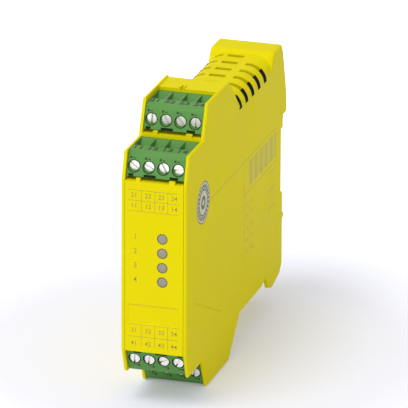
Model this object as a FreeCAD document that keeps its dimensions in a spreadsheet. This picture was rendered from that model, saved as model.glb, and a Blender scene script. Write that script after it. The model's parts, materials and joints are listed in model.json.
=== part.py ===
# DIN-rail safety relay, 22.5 mm wide, with four pluggable screw terminal blocks.
#
# Every sub-part is drawn from the case datum: x across the width from the middle plane, y back
# from the front face, z up from the lowest tip.  The placements then move it so that the origin
# lies in the middle of the rail's front plane, -Y to the operator and +Z up.

import FreeCAD, Part
import math
import os
import re

import Sketcher
from FreeCAD import Placement, Rotation, Vector

doc = FreeCAD.newDocument("safety_relay")
sheet = doc.addObject("Spreadsheet::Sheet", "Sizes")

# ---------------------------------------------------------------- driving dimensions (mm)
SIZES = {
    # case
    "case_width": 22.5,
    "case_height": 99.0,
    "wall": 1.2,
    "gap": 0.1,
    "edge_ease": 0.5,
    # stepped front of the two side walls: the panel ends this far below the top
    "front_drop": 20.9,
    "rim_lean": 3.0,
    "tier_rise": 10.1,
    "upper_lean": 4.8,
    "roof_back": 47.2,
    "slope_wall": 1.7,
    # long middle of the case, and how far the roof lies below the walls
    "deck_bottom": 12.4,
    "deck_drop": 0.5,
    # rail seat and hook
    "rail_depth": 110.4,
    "rail_height": 48.8,
    "rail_width": 35.0,
    "rail_play": 0.1,
    "hook_reach": 4.1,
    "rail_lip": 1.5,
    "relief": 2.0,
    "hook_bite": 2.0,
    "seat_land": 4.3,
    "ridge_height": 1.3,
    # vented tunnel between the side walls
    "vent_round": 6.0,
    "vent_slot": 2.3,
    "vent_rows": 5,
    # front panel
    "panel": 1.6,
    "lamp_x": 2.85,
    "lamp_low": 44.1,
    "lamp_pitch": 5.0,
    "lamp_hole": 3.6,
    "lamp": 3.1,
    # pluggable terminal block, drawn from the lower front edge of its screw face
    "plug_y": 1.47,
    "plug_height": 8.0,
    "plug_top": 16.5,
    "face_lean": 2.39,
    "face_high": 6.5,
    "label_front": 3.6,
    "overhang": 5.9,
    "stem_high": 4.3,
    "pole_pitch": 5.0,
    "poles": 4,
    "floor": 0.5,
    # wire clamp inside a plug
    "screw_z": 3.2,
    "head": 3.5,
    "head_depth": 1.7,
    "head_seat": 3.5,
    "seat_wall": 0.8,
    "shank": 2.6,
    "neck": 2.8,
    "thread": 2.7,
    "shank_end": 8.2,
    "slot": 0.6,
    "cage_front": 7.0,
    "cage_length": 6.3,
    "cage_height": 3.6,
    "cage_width": 4.1,
    "cage_plate": 1.2,
    "cage_side": 0.5,
    "bar_front": 8.5,
    "strip": 0.6,
    "strip_width": 2.9,
    "strip_top": 5.5,
    "pin": 1.0,
    "pin_z": 1.85,
    # header that the plug enters
    "header_wall": 1.2,
    "header_side": 0.85,
    # circuit board and what it carries
    "board_gap": 0.4,
    "board": 1.6,
    "board_front": 5.0,
    "pin_step": 1.9,
    "relay_length": 43.0,
    "relay_width": 24.0,
    "relay_height": 15.7,
    "cap": 10.0,
    "cap_height": 14.0,
    "fuse": 8.4,
    "chip_length": 10.2,
    "chip_width": 7.6,
    "chip_height": 2.4,
    "choke": 12.0,
    "choke_height": 7.0,
    "lead": 0.5,
    # foot, rail latch and its spring
    "foot_low": 7.8,
    "floor_low": 0.4,
    "channel_half": 7.2,
    "latch_play": 0.2,
    "latch_bite": 2.0,
    "spring_width": 4.8,
    "spring_strip": 0.6,
    "spring_lean": 1.7,
    "spring_folds": 8,
    "rib": 1.4,
}

# places that follow from the dimensions above, each a sum of them and its own offset
PLACES = {
    # heights that hang from the top of the case
    "front_high": "case_height - front_drop",
    "deck_top": "case_height - 13.8",
    "block_top": "case_height - 6.5",
    "block_kink": "block_top - 1.8",
    "vent_top": "deck_top + vent_round",
    # plugs: the lower rows hang as mirror images about one height
    "plug_z": "front_high + 1.2",
    "mirror": "0.5 * case_height - 0.5",
    "tier_top": "plug_z + plug_height + 2 * gap",
    "tier_bottom": "2 * mirror - plug_z - plug_height - gap",
    "front_low": "2 * mirror - plug_z + 0.3",
    "plug_neck": "plug_top - 2.3",
    "plug_reach": "plug_top + 2.9",
    "socket_end": "plug_reach - 0.4",
    "pin_tip": "plug_neck + 1.4",
    "header_back": "plug_reach + 3.2",
    "pin_row": "header_back + 1.6",
    "tier_depth": "plug_y + plug_top + 0.43",
    # roof, vents and the front part of the floor
    "low_back": "roof_back + 0.8",
    "vent_first": "roof_back + 12.6",
    "vent_pitch": "block_front / vent_rows - vent_first / vent_rows + 0.17",
    # rear block, hook and foot, from the rail
    "block_front": "rail_depth - 15.7",
    "block_lead": "rail_depth - 10.8",
    "back_top": "rail_depth - 2.1",
    "hook_depth": "rail_depth + hook_reach",
    "hook_high": "rail_height + 0.5 * rail_width + 6.2",
    "back_kink": "0.5 * block_top + 0.5 * hook_high - 4.1",
    "notch_front": "rail_depth - 24.6",
    "notch_y": "rail_depth - 19.5",
    "notch_z": "deck_bottom + 1.5",
    "foot_front": "rail_depth - 16.4",
    "foot_mid": "rail_depth - 11.6",
    "foot_back": "rail_depth - 2.9",
    "back_low": "deck_bottom + 0.6",
    # latch channel
    "channel_roof": "rail_height - 0.5 * rail_width + 5.5",
    "channel_front": "rail_depth - 8.2",
    "latch_top": "rail_height - 0.5 * rail_width - 2.3",
    "latch_foot": "foot_low + 0.8",
    "rib_z": "back_low + 1",
    # electronics
    "board_back": "channel_front - wall - 0.5",
    "relay_y": "board_back - relay_length - 1.5",
}


def size(name):
    """The number behind a name: one of the sheet's cells, or a place that follows from them."""
    return value(PLACES[name]) if name in PLACES else float(sheet.get(name))


def value(text):
    """The number that a sum such as 'case_height - 2 * wall' stands for."""
    total = 0.0
    for sign, term in re.findall(r"([+-]?)\s*([^+-]+)", text):
        product = -1.0 if sign == "-" else 1.0
        for operator, factor in re.findall(r"([*/]?)\s*([\w.]+)", term):
            number = size(factor) if factor[0].isalpha() else float(factor)
            product = product / number if operator == "/" else product * number
        total += product
    return total


def bound(text):
    """The same sum as an expression on the sheet's cells."""
    return re.sub(r"[a-z]\w*", lambda word: cell(word.group(0)), text)


def cell(name):
    return f"({bound(PLACES[name])})" if name in PLACES else "Sizes." + name


def fill_sheet():
    for row, (name, number) in enumerate(SIZES.items(), start=1):
        sheet.set(f"A{row}", name)
        sheet.set(f"B{row}", str(number))
        sheet.setAlias(f"B{row}", name)
    doc.recompute()


# ---------------------------------------------------------------- small drawing helpers
def new_body(label, y="0", z="0"):
    """A body in the case datum, moved back to the part's origin."""
    body = doc.addObject("PartDesign::Body", label)
    body.Label = label
    seat(body, "0", y, z)
    return body


def seat(item, x, y, z):
    """Bind a sub-part's place to the sheet; x, y and z are sums from the case datum."""
    item.setExpression("Placement.Base.x", bound(x))
    item.setExpression("Placement.Base.y", bound(y + " - rail_depth"))
    item.setExpression("Placement.Base.z", bound(z + " - rail_height"))


def plane(body, role):
    return next(item for item in body.Origin.OriginFeatures if item.Role == role)


def new_sketch(body, name, role, offset):
    """An empty sketch parallel to an origin plane; offset runs along the plane's normal."""
    sketch = body.newObject("Sketcher::SketchObject", name)
    sketch.AttachmentSupport = [(plane(body, role), "")]
    sketch.MapMode = "FlatFace"
    sketch.setExpression("AttachmentOffset.Base.z", bound(offset))
    return sketch


def add_loop(sketch, points):
    """A closed outline whose corners are each held by two bound distances."""
    corners = [Vector(value(a), value(b), 0) for a, b in points]
    first = sketch.GeometryCount
    count = len(points)
    for index, corner in enumerate(corners):
        sketch.addGeometry(Part.LineSegment(corner, corners[(index + 1) % count]))
    for index in range(count):
        after = first + (index + 1) % count
        sketch.addConstraint(Sketcher.Constraint("Coincident", first + index, 2, after, 1))
    for index, (a, b) in enumerate(points):
        hold_point(sketch, first + index, 1, a, b)


def hold_point(sketch, geometry, vertex, a, b):
    for kind, text in (("DistanceX", a), ("DistanceY", b)):
        number = sketch.addConstraint(
            Sketcher.Constraint(kind, -1, 1, geometry, vertex, value(text)))
        sketch.setExpression(f"Constraints[{number}]", bound(text))


def add_circle(sketch, a, b, diameter):
    circle = Part.Circle(Vector(value(a), value(b), 0), Vector(0, 0, 1), value(diameter) / 2)
    index = sketch.addGeometry(circle)
    hold_point(sketch, index, 3, a, b)
    number = sketch.addConstraint(Sketcher.Constraint("Diameter", index, value(diameter)))
    sketch.setExpression(f"Constraints[{number}]", bound(diameter))


def octagon(a, b, across):
    """An eight-sided hole that clears a shank of that diameter."""
    near, far = f"0.5 * {across}", f"0.2071 * {across}"
    corners = [(near, far), (far, near), ("-" + far, near), ("-" + near, far),
               ("-" + near, "-" + far), ("-" + far, "-" + near), (far, "-" + near),
               (near, "-" + far)]
    return [(f"{a} {signed(da)}", f"{b} {signed(db)}") for da, db in corners]


def signed(term):
    return term.replace("-", "- ") if term.startswith("-") else "+ " + term


def rectangle(low_a, low_b, high_a, high_b):
    return [(low_a, low_b), (high_a, low_b), (high_a, high_b), (low_a, high_b)]


def pad(body, sketch, length, name, reverse=False, symmetric=False):
    return extrude(body, "PartDesign::Pad", sketch, length, name, reverse, symmetric)


def pocket(body, sketch, length, name, reverse=False, symmetric=False):
    """A cut, which has to take material away."""
    before = body.Shape.Volume
    feature = extrude(body, "PartDesign::Pocket", sketch, length, name, reverse, symmetric)
    if not body.Shape.Volume < before - 1e-6:
        raise RuntimeError(f"{name} cuts nothing")
    return feature


def extrude(body, kind, sketch, length, name, reverse, symmetric):
    feature = body.newObject(kind, name)
    feature.Profile = sketch
    feature.setExpression("Length", bound(length))
    feature.Reversed = reverse
    if symmetric:
        feature.SideType = "Symmetric"
    sketch.Visibility = False
    doc.recompute()
    return feature


def side_sketch(body, name, x, *loops):
    """Loops of (y, z) corners on a plane across the width at x."""
    sketch = new_sketch(body, name, "YZ_Plane", x)
    for loop in loops:
        add_loop(sketch, loop)
    return sketch


def front_sketch(body, name, y, *loops):
    """Loops of (x, z) corners on a plane facing the operator at depth y."""
    sketch = new_sketch(body, name, "XZ_Plane", "0 - " + flip(y))
    for loop in loops:
        add_loop(sketch, loop)
    return sketch


def top_sketch(body, name, z, *loops):
    sketch = new_sketch(body, name, "XY_Plane", z)
    for loop in loops:
        add_loop(sketch, loop)
    return sketch


def repeat(body, features, axis, length, count, name):
    """A row of copies of some features along one of the body's axes."""
    pattern = body.newObject("PartDesign::LinearPattern", name)
    pattern.Originals = features
    pattern.Direction = (plane(body, axis), [""])
    pattern.setExpression("Length", bound(length))
    pattern.setExpression("Occurrences", bound(count))
    body.Tip = pattern
    doc.recompute()
    return pattern


def mirrored(points):
    """The same outline hung as its mirror image, for the lower rows."""
    return [(a, "2 * mirror - " + flip(b)) for a, b in points]


def flip(text):
    """A sum with every sign after its first term turned, ready to be subtracted."""
    return text.replace("+", "#").replace("-", "+").replace("#", "-")


def ease_rim(body, x, size_name):
    """Ease the edges that bound a wall's outer face, apart from those along the deck."""
    deck = value("deck_top - rail_height")
    edges = []
    for index, edge in enumerate(body.Shape.Edges, start=1):
        box = edge.BoundBox
        on_face = abs(box.XMin - x) < 1e-3 and abs(box.XMax - x) < 1e-3
        level = abs(box.ZMin - deck) < 1e-3 and abs(box.ZMax - deck) < 1e-3
        if on_face and not level:
            edges.append(f"Edge{index}")
    solid = body.Tip
    chamfer = body.newObject("PartDesign::Chamfer", body.Label + "_rim")
    chamfer.Base = (solid, edges)
    chamfer.setExpression("Size", bound(size_name))
    doc.recompute()


# ---------------------------------------------------------------- places that several parts share
RAIL_TOP = "rail_height + 0.5 * rail_width + rail_play"
RAIL_LOW = "rail_height - 0.5 * rail_width - rail_play"
INNER = "0.5 * case_width - wall"
ROOF_FRONT = "tier_depth + plug_y + plug_top + 3 * gap"
ROOF_TOP = "case_height - deck_drop"
HEADER_BACK = "plug_y + header_back"
HEADER_TOP = "plug_z + overhang"
BACK_INNER = "rail_depth - relief - slope_wall"

TABS = (("-6.3", "-4.8"), ("5", "7"))      # across the width, under each upper plug

PLUG_ROWS = {
    "upper_front": ("plug_y", "plug_z", 1),
    "upper_rear": ("plug_y + tier_depth", "plug_z + tier_rise", 1),
    "lower_front": ("plug_y", "2 * mirror - plug_z", -1),
    "lower_rear": ("plug_y + tier_depth", "2 * mirror - plug_z - tier_rise", -1),
}


def wall_outline():
    """The outline that both side walls share, from the lower front corner round the top."""
    front = [
        ("0", "front_low"),
        ("0", "front_high"),
        ("rim_lean", "tier_top"),
        ("tier_depth", "tier_top"),
        ("tier_depth + upper_lean", "case_height"),
        ("roof_back", "case_height"),
        ("roof_back + case_height - deck_top", "deck_top"),
        ("block_front", "deck_top"),
    ]
    underside = [
        ("rail_depth", "back_low"),
        ("foot_back", "foot_low + 2"),
        ("foot_mid", "foot_low"),
        ("foot_front", "foot_low + 1.6"),
        ("notch_y", "notch_z"),
        ("notch_front", "deck_bottom"),
        ("low_back + deck_bottom", "deck_bottom"),
        ("low_back", "0"),
        ("tier_depth + upper_lean", "0"),
        ("tier_depth", "tier_bottom"),
        ("rim_lean", "tier_bottom"),
    ]
    ridge = [
        ("rail_depth", RAIL_LOW),
        ("rail_depth + rail_lip", RAIL_LOW),
        ("rail_depth + rail_lip", RAIL_LOW + " - ridge_height"),
        ("rail_depth", RAIL_LOW + " - 2 * ridge_height"),
    ]
    hook = [("hook_depth", RAIL_TOP)]
    return front + block_outline() + hook + rail_seat() + ridge + underside


def block_outline():
    """Rear block above the rail, from its front kink to the hook."""
    return [
        ("block_front + 3", "block_kink"),
        ("block_lead", "block_top"),
        ("back_top", "block_top"),
        ("back_top + 1.7", "block_top - 3"),
        ("hook_depth - 1.3", "back_kink"),
        ("hook_depth", "hook_high"),
    ]


def rail_seat():
    """The two lands that touch the rail's lips, with the relief between them."""
    return [
        ("rail_depth", RAIL_TOP),
        ("rail_depth", RAIL_TOP + " - seat_land"),
        ("rail_depth - relief", RAIL_TOP + " - seat_land - 0.3"),
        ("rail_depth - relief", RAIL_LOW + " + 2 * seat_land"),
        ("rail_depth", RAIL_LOW + " + 2 * seat_land - 0.8"),
    ]


def back_shell():
    """One band: rear block, hook, rail seat, latch channel, floor and lower roof."""
    outside = [("block_front", "deck_top")] + block_outline() + [
        ("hook_depth", RAIL_TOP + " - hook_bite"),
        ("rail_depth + rail_lip", RAIL_TOP + " - hook_bite"),
        ("rail_depth + rail_lip", RAIL_TOP),
    ] + rail_seat() + [
        ("rail_depth", "channel_roof"),
        ("channel_front", "channel_roof"),
        ("channel_front", "notch_z"),
        ("notch_y", "notch_z"),
        ("notch_front", "deck_bottom + gap"),
        ("low_back + deck_bottom + gap - floor_low", "deck_bottom + gap"),
        ("low_back", "floor_low"),
        (ROOF_FRONT, "floor_low"),
    ]
    header_low = "2 * mirror - plug_z - overhang - tier_rise"
    inside = [
        (ROOF_FRONT, header_low),
        (ROOF_FRONT + " + wall", header_low),
        (ROOF_FRONT + " + wall", "floor_low + wall"),
        ("low_back - slope_wall + wall", "floor_low + wall"),
        ("low_back - slope_wall + wall + deck_bottom + gap - floor_low", "deck_bottom + gap + wall"),
        ("notch_front", "deck_bottom + gap + wall"),
        ("notch_y", "notch_z + wall"),
        ("channel_front - wall", "notch_z + wall"),
        ("channel_front - wall", "channel_roof + wall"),
        (BACK_INNER, "channel_roof + wall"),
        (BACK_INNER, "block_top - slope_wall"),
        ("block_lead + 1", "block_top - slope_wall"),
        ("block_front + slope_wall", "deck_top"),
    ]
    return outside + inside


def roof_loop():
    """Roof behind the upper rear plug and the slope down to the deck."""
    slope_end = "roof_back + case_height - deck_drop - deck_top"
    return [
        (ROOF_FRONT, ROOF_TOP),
        ("roof_back", ROOF_TOP),
        (slope_end, "deck_top"),
        (slope_end + " - slope_wall", "deck_top"),
        ("roof_back + wall - slope_wall", ROOF_TOP + " - wall"),
        (ROOF_FRONT + " + wall", ROOF_TOP + " - wall"),
        (ROOF_FRONT + " + wall", HEADER_TOP + " + tier_rise"),
        (ROOF_FRONT, HEADER_TOP + " + tier_rise"),
    ]


def front_tray():
    return rectangle("panel", "front_high - wall", HEADER_BACK, "front_high")


def rear_tray():
    """The riser behind the front plug and the tray that carries the rear header."""
    low = "front_high + tier_rise - wall"
    return [
        ("tier_depth", HEADER_TOP),
        ("tier_depth + wall", HEADER_TOP),
        ("tier_depth + wall", low),
        (HEADER_BACK + " + tier_depth", low),
        (HEADER_BACK + " + tier_depth", "front_high + tier_rise"),
        ("tier_depth", "front_high + tier_rise"),
    ]


def tunnel(body, name, inset):
    """Cross-section of the vented tunnel: flat top, quarter-round shoulders."""
    sketch = new_sketch(body, name, "XZ_Plane", "0 - roof_back - 3 * vent_slot")
    half = "0.5 * case_width" + inset
    flat = "0.5 * case_width - vent_round"
    top = "vent_top" + inset
    corners = [("0 - " + flip(half), "deck_top"), (half, "deck_top"),
               (flat, top), ("0 - " + flip(flat), top)]
    ends = [Vector(value(a), value(b), 0) for a, b in corners]
    radius = value("vent_round" + inset)
    normal = Vector(0, 0, 1)
    right = Part.Circle(Vector(ends[2].x, ends[1].y, 0), normal, radius)
    left = Part.Circle(Vector(ends[3].x, ends[1].y, 0), normal, radius)
    sketch.addGeometry(Part.LineSegment(ends[0], ends[1]))
    sketch.addGeometry(Part.ArcOfCircle(right, 0, math.pi / 2))
    sketch.addGeometry(Part.LineSegment(ends[2], ends[3]))
    sketch.addGeometry(Part.ArcOfCircle(left, math.pi / 2, math.pi))
    for first, second in ((0, 1), (1, 2), (2, 3), (3, 0)):
        sketch.addConstraint(Sketcher.Constraint("Coincident", first, 2, second, 1))
    for geometry, vertex, corner in ((0, 1, 0), (0, 2, 1), (2, 1, 2), (2, 2, 3)):
        hold_point(sketch, geometry, vertex, *corners[corner])
    for arc in (1, 3):
        number = sketch.addConstraint(Sketcher.Constraint("Radius", arc, radius))
        sketch.setExpression(f"Constraints[{number}]", bound("vent_round" + inset))
    return sketch


# ---------------------------------------------------------------- case
def make_housing():
    """Left wall, stepped trays, roof, vented tunnel, back and latch channel in one moulding."""
    body = new_body("housing_body")
    left = "0 - 0.5 * case_width"
    wall = side_sketch(body, "left_wall", left, wall_outline())
    pad(body, wall, "wall", "left_wall_pad")
    ease_rim(body, -size("case_width") / 2, "edge_ease")

    inside = "0 - 0.5 * case_width + wall"
    across = "case_width - 2 * wall"
    shells = side_sketch(body, "shells", inside, front_tray(), rear_tray(), roof_loop(),
                         mirrored(front_tray()), mirrored(rear_tray()), back_shell())
    pad(body, shells, across, "shell_pad")

    # keying tabs between the upper rear plug and its tray, and the coding slot in the roof
    tray = "front_high + tier_rise"
    tabs = top_sketch(body, "tray_tabs", tray, *[rectangle(a, "tier_depth + gap", b,
                                                           "tier_depth + wall") for a, b in TABS])
    pad(body, tabs, "plug_z - front_high - gap", "tray_tab_pad")
    bump = top_sketch(body, "roof_bump", ROOF_TOP,
                      rectangle("-3.2", ROOF_FRONT, "-1.2", ROOF_FRONT + " + 3"))
    pad(body, bump, "0.5", "roof_bump_pad")
    coding = top_sketch(body, "roof_slot", ROOF_TOP + " + 0.5",
                        rectangle("-2.5", ROOF_FRONT, "-1.8", ROOF_FRONT + " + 2.4"))
    pocket(body, coding, "wall", "roof_slot_cut")

    # vented tunnel, hollow inside
    tunnel_length = "block_lead - roof_back - 3 * vent_slot - wall"
    pad(body, tunnel(body, "tunnel_outside", ""), tunnel_length, "tunnel_pad", reverse=True)
    pocket(body, tunnel(body, "tunnel_inside", " - wall"), tunnel_length + " - wall",
           "tunnel_pocket")

    # the cover's roof slope and rear block stand where the tunnel's right shoulder would be
    cover_zone = side_sketch(body, "cover_zone", INNER,
                             [("roof_back", "deck_top"), ("roof_back", "case_height"),
                              ("roof_back + 2 * gap", "case_height"),
                              ("roof_back + case_height - deck_top + 2 * gap", "deck_top")],
                             [("block_front - gap", "deck_top"),
                              ("block_front + 3 - gap", "block_kink"),
                              ("block_lead", "block_top"), ("block_lead", "deck_top")])
    pocket(body, cover_zone, "2 * wall", "cover_zone_cut", reverse=True)

    # slots: one row cuts the flat top and both shoulders
    front = "vent_first - 0.5 * vent_slot"
    back = "vent_first + 0.5 * vent_slot"
    row = [rectangle("0.25 - 0.5 * case_width", front, "-5.7", back),
           rectangle("-4.1", front, "1.5", back),
           rectangle("4.4", front, "0.5 * case_width - 0.25", back)]
    slots = top_sketch(body, "vent_row", "deck_top + 2.6", *row)
    cut = pocket(body, slots, "2 * vent_round", "vent_cut", reverse=True)
    repeat(body, [cut], "Y_Axis", "vent_pitch * vent_rows - vent_pitch", "vent_rows", "vent_rows")
    last = "vent_first + vent_rows * vent_pitch"
    end_row = [rectangle("-8.7", last + " - 0.5 * vent_slot", "-5.7", last + " + 0.5 * vent_slot"),
               rectangle("-4.1", last + " - 0.5 * vent_slot", "1.5", last + " + 0.5 * vent_slot")]
    pocket(body, top_sketch(body, "vent_end_row", "vent_top - wall - 1", *end_row),
           "2 * vent_round", "vent_end_cut", reverse=True)

    # the same air path through the floor
    below = top_sketch(body, "floor_row", "deck_bottom - 1",
                       rectangle("-8.4", "low_back + 15", "-1.4", "low_back + 15 + vent_slot"),
                       rectangle("1.4", "low_back + 15", "8.4", "low_back + 15 + vent_slot"))
    floor_cut = pocket(body, below, "3 * wall", "floor_cut", reverse=True)
    repeat(body, [floor_cut], "Y_Axis", "2 * vent_pitch", "3", "floor_rows")

    # guides and retaining lips of the latch channel, and the rib under the latch spring
    outer = INNER
    lip = "channel_half - 1.6"
    right = [("channel_half", "channel_front"), (outer, "channel_front"), (outer, "rail_depth"),
             (lip, "rail_depth"), (lip, "rail_depth - 1.5"), ("channel_half", "rail_depth - 1.5")]
    left_guide = [("0 - " + flip(a), b) for a, b in right]
    guides = top_sketch(body, "latch_guides", "back_low", right, left_guide)
    pad(body, guides, "channel_roof - back_low", "guide_pad")
    rib = top_sketch(body, "spring_rib", "rib_z",
                     rectangle("-2.6", "channel_front", "2.6", "rail_depth - relief - 0.8"))
    pad(body, rib, "rib", "rib_pad")

    # rests that hold the circuit board off the left wall
    rests = side_sketch(body, "board_rests", inside,
                        rectangle("30", "front_high - 5.1", "36", "front_high - 2.1"),
                        rectangle("30", "front_low + 3", "36", "front_low + 6"),
                        rectangle("board_back - 8.5", "deck_top - 7.2", "board_back - 2.5",
                                  "deck_top - 4.2"),
                        rectangle("board_back - 8.5", "notch_z + 4.1", "board_back - 2.5",
                                  "notch_z + 7.1"))
    pad(body, rests, "board_gap", "rest_pad")
    return body


def make_cover():
    """Right wall, with three lugs that snap inside the trays and the floor."""
    body = new_body("side_cover")
    wall = side_sketch(body, "right_wall", INNER, wall_outline())
    pad(body, wall, "wall", "right_wall_pad")
    ease_rim(body, size("case_width") / 2, "edge_ease")
    lug = "front_high - wall - gap"
    low_lug = "2 * mirror - front_high + wall + gap"
    rear_lug = "notch_z + wall + gap"
    lugs = side_sketch(body, "lugs", INNER,
                       rectangle("8", lug + " - 1.2", "14", lug),
                       rectangle("8", low_lug, "14", low_lug + " + 1.2"),
                       rectangle("notch_y + 1.1", rear_lug, "notch_y + 7.1", rear_lug + " + 1.2"))
    pad(body, lugs, "2", "lug_pad", reverse=True)
    score = side_sketch(body, "score_line", "0.5 * case_width",
                        [("7.3", "35.2"), ("37.9", "21.2"), ("37.9", "21.5"), ("7.3", "35.5")])
    pocket(body, score, "0.25", "score_cut")
    return body


def make_panel():
    """Front insert between the walls, with four lamp holes and two tabs under the plug."""
    body = new_body("front_panel")
    half = INNER + " - gap"
    plate = front_sketch(body, "plate", "0",
                         rectangle("0 - " + flip(half), "front_low", half, "front_high"))
    pad(body, plate, "panel", "plate_pad", reverse=True)
    label = front_sketch(body, "label_recess", "0",
                         rectangle("-8.9", "front_low + 9.8", "8.5", "front_low + 16.4"))
    pocket(body, label, "0.2", "label_cut")
    holes = new_sketch(body, "lamp_hole", "XZ_Plane", "0")
    add_circle(holes, "lamp_x", "lamp_low", "lamp_hole")
    hole = pocket(body, holes, "panel", "lamp_cut")
    repeat(body, [hole], "Z_Axis", "3 * lamp_pitch", "4", "lamp_cuts")
    tabs = front_sketch(body, "tabs", "0.2",
                        *[rectangle(a, "front_high - 1", b, "plug_z - gap") for a, b in TABS])
    pad(body, tabs, "1", "tab_pad", reverse=True)
    flanges = front_sketch(body, "flanges", "panel",
                           rectangle("0 - " + flip(half), "front_low + 5",
                                     "0 - " + flip(half) + " + 0.8", "front_high - 5"),
                           rectangle(half + " - 0.8", "front_low + 5", half, "front_high - 5"))
    pad(body, flanges, "2.4", "flange_pad", reverse=True)
    return body


def make_latch():
    """Sprung foot that grips behind the rail's lower lip."""
    body = new_body("rail_latch")
    play = "latch_play"
    front = "channel_front + " + play
    lip_front = "rail_depth - 1.5 - " + play
    half = "2 * channel_half - 2 * latch_play"
    shank = [
        ("foot_front + 2", "latch_foot"),
        (lip_front, "latch_foot"),
        (lip_front, "latch_top"),
        (front, "latch_top"),
        (front, "latch_foot + 1.8"),
        ("foot_front + 2", "latch_foot + 1.8"),
    ]
    pad(body, side_sketch(body, "shank", "0", shank), half, "shank_pad", symmetric=True)
    catch = [
        (lip_front, "latch_foot + 1.4"),
        ("rail_depth - latch_play", "latch_foot + 1.4"),
        ("rail_depth - latch_play", RAIL_LOW + " - 5.7"),
        ("rail_depth + 3", RAIL_LOW + " - 3.2"),
        ("rail_depth + 3", RAIL_LOW + " + 0.4"),
        ("rail_depth + 2.2", RAIL_LOW + " + latch_bite"),
        ("rail_depth + 1.2", RAIL_LOW + " + latch_bite"),
        ("rail_depth + 1.2", RAIL_LOW + " - 0.3"),
        (lip_front, RAIL_LOW + " - 0.3"),
    ]
    width = "2 * channel_half - 3.2 - 2 * latch_play"
    pad(body, side_sketch(body, "catch", "0", catch), width, "catch_pad", symmetric=True)
    window = side_sketch(body, "spring_window", "0",
                         rectangle(front, "rib_z - 0.3", "rail_depth - relief - 0.5",
                                   "latch_top - 1.8"))
    pocket(body, window, "spring_width + 1", "window_cut", symmetric=True)
    slot = top_sketch(body, "driver_slot", "latch_foot",
                      rectangle("-2.6", "foot_front + 3.6", "2.6", "foot_front + 5.4"))
    pocket(body, slot, "3 * wall", "driver_cut", reverse=True)
    return body


def make_spring():
    """Folded strip spring between the housing's rib and the top of the latch window."""
    body = new_body("latch_spring")
    middle = "channel_front + 0.5 * spring_width + 0.5"
    folds = int(size("spring_folds"))
    near, far = [], []
    for fold in range(folds + 1):
        lean = "-" if fold % 2 else "+"
        height = (f"rib_z + rib + {fold / folds} * latch_top - {fold / folds} * 1.8"
                  f" - {fold / folds} * rib_z - {fold / folds} * rib")
        near.append((f"{middle} {lean} spring_lean - spring_strip", height))
        far.append((f"{middle} {lean} spring_lean + spring_strip", height))
    strip = side_sketch(body, "folded_strip", "0", near + far[::-1])
    pad(body, strip, "spring_width", "strip_pad", symmetric=True)
    return body


# ---------------------------------------------------------------- electronics
def make_board():
    """Main board along the left wall, with a hole for every header pin."""
    body = new_body("circuit_board")
    side = "0 - 0.5 * case_width + wall + board_gap"
    upper = [
        ("board_front", "front_high - wall - 1.3"),
        (HEADER_BACK + " + 1", "front_high - wall - 1.3"),
        (HEADER_BACK + " + 1", "plug_z + 3.2"),
        (HEADER_BACK + " + tier_depth + 0.8", "plug_z + 3.2"),
        (HEADER_BACK + " + tier_depth + 0.8", "plug_z + tier_rise + 3.2"),
        ("roof_back + 3.9", "plug_z + tier_rise + 3.2"),
        ("roof_back + 3.9", "deck_top - 0.4"),
        ("board_back", "deck_top - 0.4"),
    ]
    lower = [
        ("board_back", "notch_z + wall + 0.3"),
        ("low_back + 12.6", "notch_z + wall + 0.3"),
        ("roof_back + 3.4", "2 * mirror - plug_z - tier_rise - 3.2"),
        (HEADER_BACK + " + tier_depth + 0.8", "2 * mirror - plug_z - tier_rise - 3.2"),
        (HEADER_BACK + " + tier_depth + 0.8", "2 * mirror - plug_z - 3.2"),
        (HEADER_BACK + " + 1", "2 * mirror - plug_z - 3.2"),
        (HEADER_BACK + " + 1", "2 * mirror - front_high + wall + 1.3"),
        ("board_front", "2 * mirror - front_high + wall + 1.3"),
    ]
    pad(body, side_sketch(body, "outline", side, upper + lower), "board", "board_pad")
    holes = new_sketch(body, "pin_holes", "YZ_Plane", side)
    for row_y, row_z, up in PLUG_ROWS.values():
        height = row_z + (" + pin_z" if up > 0 else " - pin_z")
        for pole in range(int(size("poles"))):
            near = f"{row_y} + pin_row + {pole} * pin_step"
            add_loop(holes, rectangle(near + " - gap", height + " - 0.5 * pin - gap",
                                      near + " + pin + gap", height + " + 0.5 * pin + gap"))
    pocket(body, holes, "board", "pin_hole_cut", reverse=True)
    return body


BOARD_FACE = "0 - 0.5 * case_width + wall + board_gap + board"


def make_relay(label, low):
    """Sealed relay with positively guided contacts, lying on the board."""
    body = new_body(label)
    case = side_sketch(body, "case", BOARD_FACE,
                       rectangle("relay_y", low, "relay_y + relay_length", low + " + relay_width"))
    block = pad(body, case, "relay_height", "case_pad")
    edges = [f"Edge{index}" for index, edge in enumerate(body.Shape.Edges, start=1)
             if edge.BoundBox.XMin > value(BOARD_FACE) + 0.1]
    chamfer = body.newObject("PartDesign::Chamfer", "case_edges")
    chamfer.Base = (block, edges)
    chamfer.setExpression("Size", bound("edge_ease"))
    doc.recompute()
    return body


def make_round_parts(label, places, diameter, height, bore=None):
    """Cylindrical parts that stand on the board, all of one kind."""
    body = new_body(label)
    body.AllowCompound = True
    sketch = new_sketch(body, "circles", "YZ_Plane", BOARD_FACE)
    for y, z in places:
        add_circle(sketch, y, z, diameter)
        if bore:
            add_circle(sketch, y, z, bore)
    pad(body, sketch, height, "cans")
    return body


def make_chips():
    body = new_body("control_chips")
    body.AllowCompound = True
    chips = side_sketch(body, "chips", BOARD_FACE,
                        rectangle("16", "mirror + 13", "16 + chip_width",
                                  "mirror + 13 + chip_length"),
                        rectangle("16", "mirror - 23", "16 + chip_width",
                                  "mirror - 23 + chip_length"))
    pad(body, chips, "chip_height", "chip_pad")
    return body


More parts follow.
